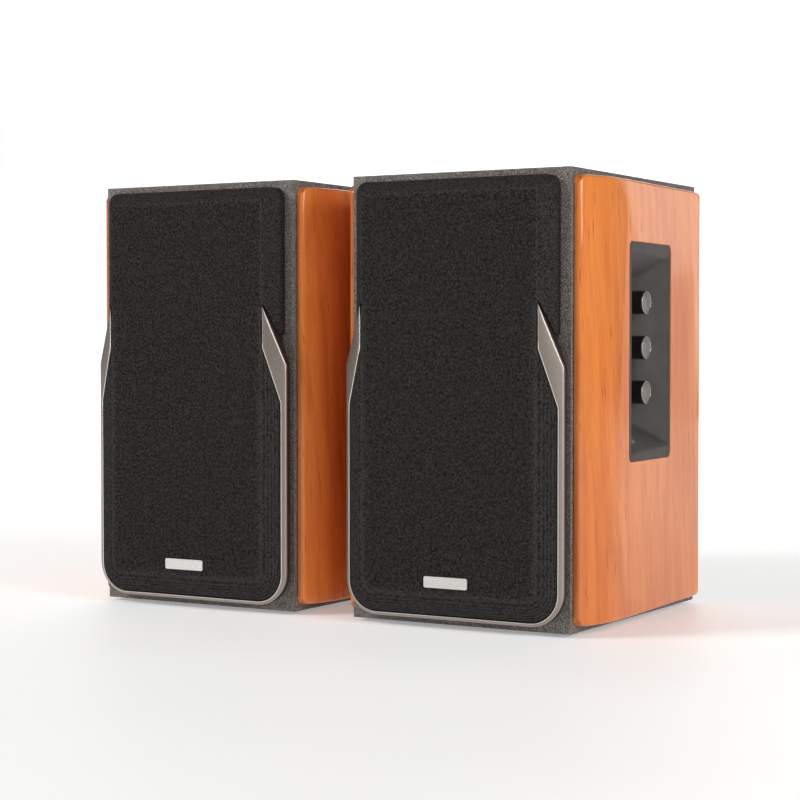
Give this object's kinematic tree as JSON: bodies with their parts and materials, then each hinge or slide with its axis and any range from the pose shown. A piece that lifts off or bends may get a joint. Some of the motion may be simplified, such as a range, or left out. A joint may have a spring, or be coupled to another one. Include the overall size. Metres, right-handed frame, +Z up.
{
  "type": "desktop speakers",
  "caption": "Pair of two-way desktop speakers with cloth grilles, bowed wood side panels, and knobs in a side recess of the active one.",
  "frame": {"origin": "on the table, at the middle of the pair's footprint", "axes": "+X to the right seen from the front, -Y the way the fronts face, +Z up"},
  "size_m": [0.3442, 0.1996, 0.257],
  "materials": {
    "vinyl": "textured black wrap, matt",
    "wood": "honey-coloured veneer under gloss lacquer",
    "foot_rubber": "matt black foam rubber",
    "black_plastic": "fine-textured moulded black",
    "knob_plastic": "satin black with a grey end face",
    "grey_plastic": "satin dark grey",
    "grille_fabric": "stretched black knit",
    "satin_trim": "satin champagne grey",
    "badge_metal": "satin",
    "black_paint": "satin black paint",
    "motor_steel": "zinc-plated steel and ferrite",
    "paper_cone": "coated paper pulp",
    "surround_rubber": "matt rubber",
    "spider_cloth": "resin-dipped weave",
    "silk_dome": "coated silk",
    "red_plastic": "moulded red",
    "sensor_window": "smoked translucent plastic",
    "circuit_board": "solder-masked laminate",
    "transformer_steel": "varnished laminations and winding"
  },
  "bodies": {
    "cabinets": {"right_cabinet_shell": "vinyl", "right_baffle_board": "vinyl", "right_back_board": "vinyl", "right_outer_side_panel": "wood", "right_inner_side_panel": "wood", "right_front_foot": "foot_rubber", "right_rear_foot": "foot_rubber", "right_woofer_basket": "black_paint", "right_woofer_motor": "motor_steel", "right_woofer_surround": "surround_rubber", "right_woofer_spider": "spider_cloth", "right_tweeter_faceplate": "black_plastic", "right_tweeter_motor": "motor_steel", "right_port_tube": "black_plastic", "right_speaker_terminal": "black_plastic", "left_cabinet_shell": "vinyl", "left_baffle_board": "vinyl", "left_back_board": "vinyl", "left_outer_side_panel": "wood", "left_inner_side_panel": "wood", "left_front_foot": "foot_rubber", "left_rear_foot": "foot_rubber", "left_woofer_basket": "black_paint", "left_woofer_motor": "motor_steel", "left_woofer_surround": "surround_rubber", "left_woofer_spider": "spider_cloth", "left_tweeter_faceplate": "black_plastic", "left_tweeter_motor": "motor_steel", "left_port_tube": "black_plastic", "left_speaker_terminal": "black_plastic", "control_tub": "grey_plastic", "sensor_window": "sensor_window", "control_board": "circuit_board", "amplifier_board": "circuit_board", "transformer": "transformer_steel", "rear_plate": "black_paint", "input_jacks": "black_plastic", "switch_housing": "black_plastic", "mains_inlet": "black_plastic"},
    "right_grille": {"right_grille_frame": "black_plastic", "right_grille_cloth": "grille_fabric", "right_grille_trim": "satin_trim", "right_grille_badge": "badge_metal"},
    "right_cone": {"right_woofer_cone": "paper_cone"},
    "right_dome": {"right_tweeter_dome": "silk_dome"},
    "right_red_lever": {"right_red_lever": "red_plastic"},
    "right_black_lever": {"right_black_lever": "black_plastic"},
    "left_grille": {"left_grille_frame": "black_plastic", "left_grille_cloth": "grille_fabric", "left_grille_trim": "satin_trim", "left_grille_badge": "badge_metal"},
    "left_cone": {"left_woofer_cone": "paper_cone"},
    "left_dome": {"left_tweeter_dome": "silk_dome"},
    "left_red_lever": {"left_red_lever": "red_plastic"},
    "left_black_lever": {"left_black_lever": "black_plastic"},
    "volume_knob": {"volume_knob": "knob_plastic"},
    "treble_knob": {"treble_knob": "knob_plastic"},
    "bass_knob": {"bass_knob": "knob_plastic"},
    "power_rocker": {"power_rocker": "black_plastic"}
  },
  "joints": [
    {"name": "right_grille_pull", "type": "slide", "parent": "cabinets", "child": "right_grille", "axis": [0, -1, 0], "range_m": [0, 0.06]},
    {"name": "right_cone_travel", "type": "slide", "parent": "cabinets", "child": "right_cone", "axis": [0, -1, 0], "range_m": [-0.003, 0.003], "stiffness_N_per_m": 1000, "deforming": ["right_woofer_surround", "right_woofer_spider"]},
    {"name": "right_dome_travel", "type": "slide", "parent": "cabinets", "child": "right_dome", "axis": [0, -1, 0], "range_m": [-0.0004, 0.0004], "stiffness_N_per_m": 300},
    {"name": "left_grille_pull", "type": "slide", "parent": "cabinets", "child": "left_grille", "axis": [0, -1, 0], "range_m": [0, 0.06]},
    {"name": "left_cone_travel", "type": "slide", "parent": "cabinets", "child": "left_cone", "axis": [0, -1, 0], "range_m": [-0.003, 0.003], "stiffness_N_per_m": 1000, "deforming": ["left_woofer_surround", "left_woofer_spider"]},
    {"name": "left_dome_travel", "type": "slide", "parent": "cabinets", "child": "left_dome", "axis": [0, -1, 0], "range_m": [-0.0004, 0.0004], "stiffness_N_per_m": 300},
    {"name": "volume_turn", "type": "hinge", "parent": "cabinets", "child": "volume_knob", "pos_m": [0.1558, -0.00093, 0.1844], "axis": [1, 0, 0], "range_deg": [-150, 150]},
    {"name": "treble_turn", "type": "hinge", "parent": "cabinets", "child": "treble_knob", "pos_m": [0.1558, -0.00093, 0.1584], "axis": [1, 0, 0], "range_deg": [-150, 150]},
    {"name": "bass_turn", "type": "hinge", "parent": "cabinets", "child": "bass_knob", "pos_m": [0.1558, -0.00093, 0.1326], "axis": [1, 0, 0], "range_deg": [-150, 150]},
    {"name": "power_switch_tilt", "type": "hinge", "parent": "cabinets", "child": "power_rocker", "pos_m": [0.09025, 0.08868, 0.088], "axis": [1, 0, 0], "range_deg": [0, 16]},
    {"name": "right_red_lever_press", "type": "hinge", "parent": "cabinets", "child": "right_red_lever", "pos_m": [0.08075, 0.09208, 0.1222], "axis": [1, 0, 0], "range_deg": [0, 18], "stiffness_Nm_per_rad": 0.1, "springref_deg": -5.73},
    {"name": "right_black_lever_press", "type": "hinge", "parent": "cabinets", "child": "right_black_lever", "pos_m": [0.09975, 0.09208, 0.1222], "axis": [1, 0, 0], "range_deg": [0, 18], "stiffness_Nm_per_rad": 0.1, "springref_deg": -5.73},
    {"name": "left_red_lever_press", "type": "hinge", "parent": "cabinets", "child": "left_red_lever", "pos_m": [-0.09975, 0.09027, 0.1202], "axis": [1, 0, 0], "range_deg": [0, 18], "stiffness_Nm_per_rad": 0.1, "springref_deg": -5.73},
    {"name": "left_black_lever_press", "type": "hinge", "parent": "cabinets", "child": "left_black_lever", "pos_m": [-0.08075, 0.09027, 0.1202], "axis": [1, 0, 0], "range_deg": [0, 18], "stiffness_Nm_per_rad": 0.1, "springref_deg": -5.73}
  ]
}
